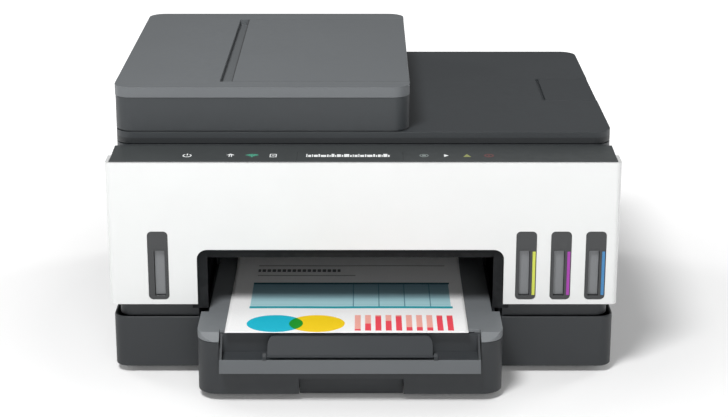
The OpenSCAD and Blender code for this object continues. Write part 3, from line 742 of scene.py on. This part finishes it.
class PRINTER_OT_panel(bpy.types.Operator):
    """Make the keys' symbols, the display and the lamps on the control panel"""

    bl_idname = "printer.panel"
    bl_label = "Control panel"

    def execute(self, context):
        low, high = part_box("control_panel")
        front, back = (low.y, PANEL_FRONT), (high.y, high.z)
        slope = (back[1] - front[1]) / (back[0] - front[0])

        def surface(_, y):
            return front[1] + slope * (np.asarray(y) - front[0]) + GLYPH_GAP

        thick = context.scene.printer_sizes.glyph

        def symbols(name, outlines, finish):
            outlines = [np.asarray(o) * MM + [0, GLYPH_ROW] for o in outlines]
            ride(plates(name, outlines, surface, thick, finish), "scanner")

        home = [rectangle(-117.9, -117.1, -3.2, 2.0), rectangle(-115.9, -115.1, -3.2, 2.0),
                [[-120.0, 1.6], [-113.0, 1.6], [-116.5, 4.6]]]
        power = [arc_band(-154.4, 0, 3.0, 4.0, 125, 415), rectangle(-154.9, -153.9, 0.6, 5.0)]
        page = [rectangle(-82.0, -81.2, -4, 4), rectangle(-76.8, -76.0, -4, 4),
                rectangle(-81.2, -76.8, 3.2, 4), rectangle(-81.2, -76.8, -4, -3.2),
                rectangle(-80.2, -77.8, -0.4, 0.4)]
        symbols("keys_left", home + power + page, "lit white")
        waves = [arc_band(-97.5, -3.5, r, r + 0.9, 40, 140) for r in (2.6, 4.6, 6.6)]
        symbols("lamp_network", waves + [circle_outline(-97.5, -3.2, 0.9)], "lit green")
        symbols("display_frame", [rectangle(-58.3, -57.9, -12, 10), rectangle(34.5, 34.9, -12, 10)],
                "panel line")
        widths = np.tile([1.0, 2.6, 0.9, 3.4, 1.3, 4.6, 1.6], 5)
        starts = -50.0 + np.concatenate([[0], np.cumsum(widths[:-1] + 0.7)])
        tops = np.tile([4.2, 1.6, 3.0, 1.9, 3.8, 1.4, 2.6, 1.8], 5)[:len(widths)]
        text = [rectangle(a, a + b, -3.4, c) for a, b, c in zip(starts, widths, tops) if a + b < 25]
        symbols("display_line", text, "lit white")
        symbols("key_stop", [arc_band(53.1, 0, 3.2, 4.0, 0, 360), rectangle(51.4, 54.8, -1.7, 1.7)],
                "lit grey")
        symbols("key_mono", [[[70.6, -3.4], [74.6, 0], [70.6, 3.4]]], "lit white")
        symbols("lamp_alarm", [[[87.2, -3.4], [94.2, -3.4], [90.7, 3.8]]], "lit amber")
        symbols("lamp_fault", [arc_band(110.0, 0, 2.6, 4.4, 0, 360),
                               rectangle(109.3, 110.7, -2.0, 2.0)], "lit red")
        return {"FINISHED"}


def slot_surrounds(name, rings, front, back):
    """Flat frames that face forward: each joins an inner and an outer outline at two depths."""
    points, faces, start = [], [], 0
    for inner, outer in rings:
        count = len(inner)
        loops = [(inner, back), (inner, front), (outer, front), (outer, back), (inner, back)]
        for outline, y in loops[:4]:
            points.append(np.column_stack([outline[:, 0], np.full(count, y), outline[:, 1]]))
        quads = ring_faces(5, count)
        faces.append(np.where(quads >= 4 * count, quads - 4 * count, quads) + start)
        start += 4 * count
    return mesh_piece(name, np.concatenate(points), np.concatenate(faces), "trim black", False)


class PRINTER_OT_windows(bpy.types.Operator):
    """Make the tank windows' colour bars and surrounds"""

    bl_idname = "printer.windows"
    bl_label = "Tank windows"

    def execute(self, context):
        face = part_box("window_frames")[0].y
        for number, name in enumerate(("yellow", "magenta", "cyan")):
            x = FIRST_TANK + TANK_PITCH * number
            bar = [x + 0.0056, x + 0.0083, face - 0.0003, face + 0.0006, 0.0750, 0.1157]
            piece = bars("bar_" + name, [bar], "bar " + name, 0.0002)
            ride(piece, "chassis")
        rings = []
        for x in (BLACK_TANK + 0.0011, *(FIRST_TANK - 0.0013 + TANK_PITCH * i for i in range(3))):
            inner = rounded_outline((x - 0.0047, x + 0.0047), (0.0744, 0.1164), 0.0008)
            outer = rounded_outline((x - 0.0067, x + 0.0067), (0.0731, 0.1178), 0.0018)
            rings.append((inner, outer))
        surround = slot_surrounds("slot_surrounds", rings, face - 0.0002, face + 0.0005)
        ride(surround, "chassis")
        return {"FINISHED"}


class PRINTER_OT_rollers(bpy.types.Operator):
    """Make the rollers' steel shafts, their tyres and the toothed gears"""

    bl_idname = "printer.rollers"
    bl_label = "Rollers and gears"

    def execute(self, context):
        sizes = context.scene.printer_sizes
        tyres = np.array([-100, -55.5, -11.5, 32.5, 77]) * MM

        def shaft(name, body, node, along, end, radius, finish):
            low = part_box(node)[0]
            rows = [(low.x, radius * 0.8), (low.x + 0.0005, radius), (end - 0.0005, radius),
                    (end, radius * 0.8)]
            ride(turned(name, 0, along, rows, finish, steps=32), body, [node])

        def tyre_set(name, body, along, half, radius):
            for number, x in enumerate(tyres):
                ribs = [(x - half, radius * 0.5), (x - half, radius * 0.96)]
                for groove in np.linspace(-half, half, 8)[:-1]:
                    step = half / 4
                    ribs += [(x + groove + step * 0.2, radius), (x + groove + step * 0.75, radius),
                             (x + groove + step * 0.85, radius * 0.95),
                             (x + groove + step * 1.05, radius * 0.95)]
                ribs += [(x + half, radius * 0.96), (x + half, radius * 0.5)]
                ride(turned(f"{name}_{number}", 0, along, ribs, "rubber", steps=32), body)

        def gear(name, body, along, radius, teeth, finish, stands_for=(), bore=0.001):
            left, right = -0.172, -0.166
            rows = [(left, bore), (left, radius * 0.55), (left + 0.0012, radius * 0.60),
                    (left + 0.0012, radius * 0.82), (left, radius * 0.86), (left, radius),
                    (right, radius), (right, radius * 0.86), (right - 0.0012, radius * 0.82),
                    (right - 0.0012, radius * 0.60), (right, radius * 0.5),
                    (right + 0.0015, radius * 0.4), (right + 0.0015, bore)]
            piece = turned(name, 0, along, rows, finish, teeth=((5, 6), teeth, sizes.tooth))
            ride(piece, body, stands_for)

        feed, eject = (0.062 + BACK, 0.072), (0.018 + BACK, 0.066)
        shaft("feed_shaft_steel", "feed_shaft", "feed_roller", feed, 0.206, 0.004,
              "ground steel")
        shaft("eject_shaft_steel", "eject_shaft", "eject_roller", eject, 0.107, 0.003,
              "ground steel")
        tyre_set("feed_tyre", "feed_shaft", feed, 0.011, 0.007)
        tyre_set("eject_tyre", "eject_shaft", eject, 0.006, 0.006)
        count = sizes.teeth
        gear("feed_gear", "feed_shaft", feed, 0.0159, count, "acetal")
        gear("eject_gear", "eject_shaft", eject, 0.0159, count, "acetal")
        gear("idler_toothed", "idler", (0.0376 + BACK, 0.0862), 0.0121, round(count * 12.2 / 16),
             "acetal", ["idler_gear"], 0.00205)
        gear("pinion_toothed", "pinion", (0.0777 + BACK, 0.0877), 0.0061, round(count * 6.2 / 16),
             "brass", ["feed_pinion"], 0.00155)
        return {"FINISHED"}


class PRINTER_OT_ink_lines(bpy.types.Operator):
    """Make the ink tubes that follow the carriage"""

    bl_idname = "printer.ink_lines"
    bl_label = "Ink tubes"

    def execute(self, context):
        """Each tube arches from a clip on the frame's back plate to the carriage's top."""
        radius = context.scene.printer_sizes.tube / 2
        clip = np.array([0.022, 0.093 + BACK, 0.1475])
        top = np.array([0.150, 0.062 + BACK, 0.127])
        for number, tone in enumerate(("black", "yellow", "magenta", "cyan")):
            shift = np.array([0.0, -0.0032 * number, 0.0])
            way = [clip + shift, clip + shift + [0.030, -0.002, 0.004],
                   clip + shift + [0.070, -0.010, 0.005], top + shift + [-0.022, 0.004, 0.020],
                   top + shift + [-0.004, 0.001, 0.012], top + shift]
            piece = tube("ink_tube_" + tone, curve_through(way, 60), radius, "ink " + tone)
            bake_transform(piece)
        return {"FINISHED"}


class PRINTER_OT_small_parts(bpy.types.Operator):
    """Make the star wheels, scan lamp and lens, contacts, mouth visor and grip wall"""

    bl_idname = "printer.small_parts"
    bl_label = "Small parts"

    def execute(self, context):
        for number, x in enumerate(np.array([-89, -67, -44, -22, 0, 22, 44, 66]) * MM):
            rows = [(x - 0.0006, 0.0008), (x - 0.0006, 0.0028), (x + 0.0006, 0.0028),
                    (x + 0.0006, 0.0008)]
            ride(turned(f"star_wheel_{number}", 0, (0.018 + BACK, 0.0754), rows, "acetal",
                        teeth=((1, 2), 14, 0.0008)), "chassis")
        low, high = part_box("scan_bar")
        lamp = [[low.x + 0.003, low.x + 0.0055, low.y + 0.004, high.y - 0.004, high.z - 0.0004,
                 high.z + 0.0003]]
        ride(bars("scan_lamp", lamp, "lit white", 0.0002), "scan_head")
        lens = [[low.x + 0.008, low.x + 0.0115, low.y + 0.004, high.y - 0.004, high.z - 0.0004,
                 high.z + 0.0004]]
        ride(bars("scan_lens", lens, "trim black", 0.0003), "scan_head")
        pins = []
        sockets = ((-0.180, 0.015, 8, 0.0905, 0.0925), (-0.161, 0.011, 4, 0.0885, 0.0905),
                   (-0.146, 0.011, 4, 0.0885, 0.0905))
        for x, width, count, z0, z1 in sockets:
            for k in range(count):
                c = x + width * (k + 1) / (count + 1)
                pins.append([c - 0.0003, c + 0.0003, 0.1935 + BACK, 0.2005 + BACK, z0, z1])
        ride(bars("socket_contacts", pins, "copper"), "chassis")
        visor = [[-0.1478, 0.1248, BACK - 0.1488, BACK - 0.1472, 0.1080, 0.1176]]
        ride(bars("mouth_visor", visor, "black inner", 0.0003), "chassis")
        wall = [[-0.0556, 0.0347, BACK - 0.2060, BACK - 0.2040, 0.0025, 0.0100]]
        ride(bars("grip_wall", wall, "cover dark", 0.0003), "paper_tray")
        tongue = [[-0.1935, -0.1865, 0.194 + BACK, 0.202 + BACK, 0.0855, 0.0875]]
        ride(bars("usb_tongue", tongue, "acetal", 0.0003), "chassis")
        return {"FINISHED"}


class PRINTER_OT_stage(bpy.types.Operator):
    """Make the floor, the lights and the camera"""

    bl_idname = "printer.stage"
    bl_label = "Stage"

    def execute(self, context):
        scene = context.scene
        _, w, bsdf = new_material("studio floor")
        place = w.add("ShaderNodeTexCoord").outputs["Object"]
        soft = w.noise(place, 1.5)
        far = w.add("ShaderNodeVectorMath", operation="LENGTH")
        w.put(far.inputs[0], place)
        glow = w.remap(far.outputs["Value"], 0.3, 0.9, 0.1, 0.9)
        w.put(bsdf["Emission Color"], w.mix(glow, (0, 0, 0, 1), (1, 1, 1, 1)))
        w.put(bsdf["Base Color"], w.mix(soft, (0.86, 0.86, 0.86, 1), (0.90, 0.90, 0.90, 1)))
        bsdf["Roughness"].default_value = 0.8
        bsdf["Emission Strength"].default_value = 0.7
        corners = [[-6, -4, 0], [6, -4, 0], [6, 8, 0], [-6, 8, 0]]
        floor = mesh_piece("floor", corners, [[0, 1, 2, 3]], "studio floor", smooth=False)
        world = bpy.data.worlds.new("studio")
        world.use_nodes = True
        world.node_tree.nodes["Background"].inputs[0].default_value = (1.0, 1.0, 1.0, 1)
        world.node_tree.nodes["Background"].inputs[1].default_value = 0.2
        scene.world = world
        for name, place, aim, size, power in LAMPS:
            lamp = bpy.data.lights.new(name, "AREA")
            lamp.shape = "DISK"
            lamp.size = size
            lamp.energy = power
            holder = bpy.data.objects.new(name, lamp)
            scene.collection.objects.link(holder)
            holder.location = place
            toward = Vector(aim) - Vector(place)
            holder.rotation_euler = toward.to_track_quat("-Z", "Y").to_euler()
        lens = bpy.data.cameras.new("camera")
        lens.sensor_width = 36.0
        lens.lens = 91.385
        lens.shift_x = 0.0008
        lens.clip_start = 0.05
        camera = bpy.data.objects.new("camera", lens)
        camera.location = (0.0, -1.6924 + BACK, 0.649)
        camera.rotation_euler = (math.radians(90 - 17.8), 0, 0)
        scene.collection.objects.link(camera)
        scene.camera = camera
        scene.view_settings.view_transform = "Standard"
        return {"FINISHED"}


STEPS = (PRINTER_OT_finishes, PRINTER_OT_stage, PRINTER_OT_housing, PRINTER_OT_sheet,
         PRINTER_OT_panel, PRINTER_OT_windows, PRINTER_OT_rollers, PRINTER_OT_ink_lines,
         PRINTER_OT_small_parts)


class PRINTER_PT_parts(bpy.types.Panel):
    """Lists the printer's steps and settings"""

    bl_label = "Printer"
    bl_space_type = "VIEW_3D"
    bl_region_type = "UI"
    bl_category = "Printer"

    def draw(self, context):
        layout = self.layout
        for step in STEPS:
            layout.operator(step.bl_idname)
        for group in (context.scene.printer_sizes, context.scene.printer_colours):
            for name in group.__annotations__:
                layout.prop(group, name)


CLASSES = (PrinterSizes, PrinterColours, *STEPS, PRINTER_PT_parts)


def register():
    for item in CLASSES:
        bpy.utils.register_class(item)
    bpy.types.Scene.printer_sizes = PointerProperty(type=PrinterSizes)
    bpy.types.Scene.printer_colours = PointerProperty(type=PrinterColours)


def unregister():
    del bpy.types.Scene.printer_sizes, bpy.types.Scene.printer_colours
    for item in reversed(CLASSES):
        bpy.utils.unregister_class(item)


def main():
    register()
    for step in STEPS:
        family, name = step.bl_idname.split(".")
        getattr(getattr(bpy.ops, family), name)()


if __name__ == "__main__":
    main()
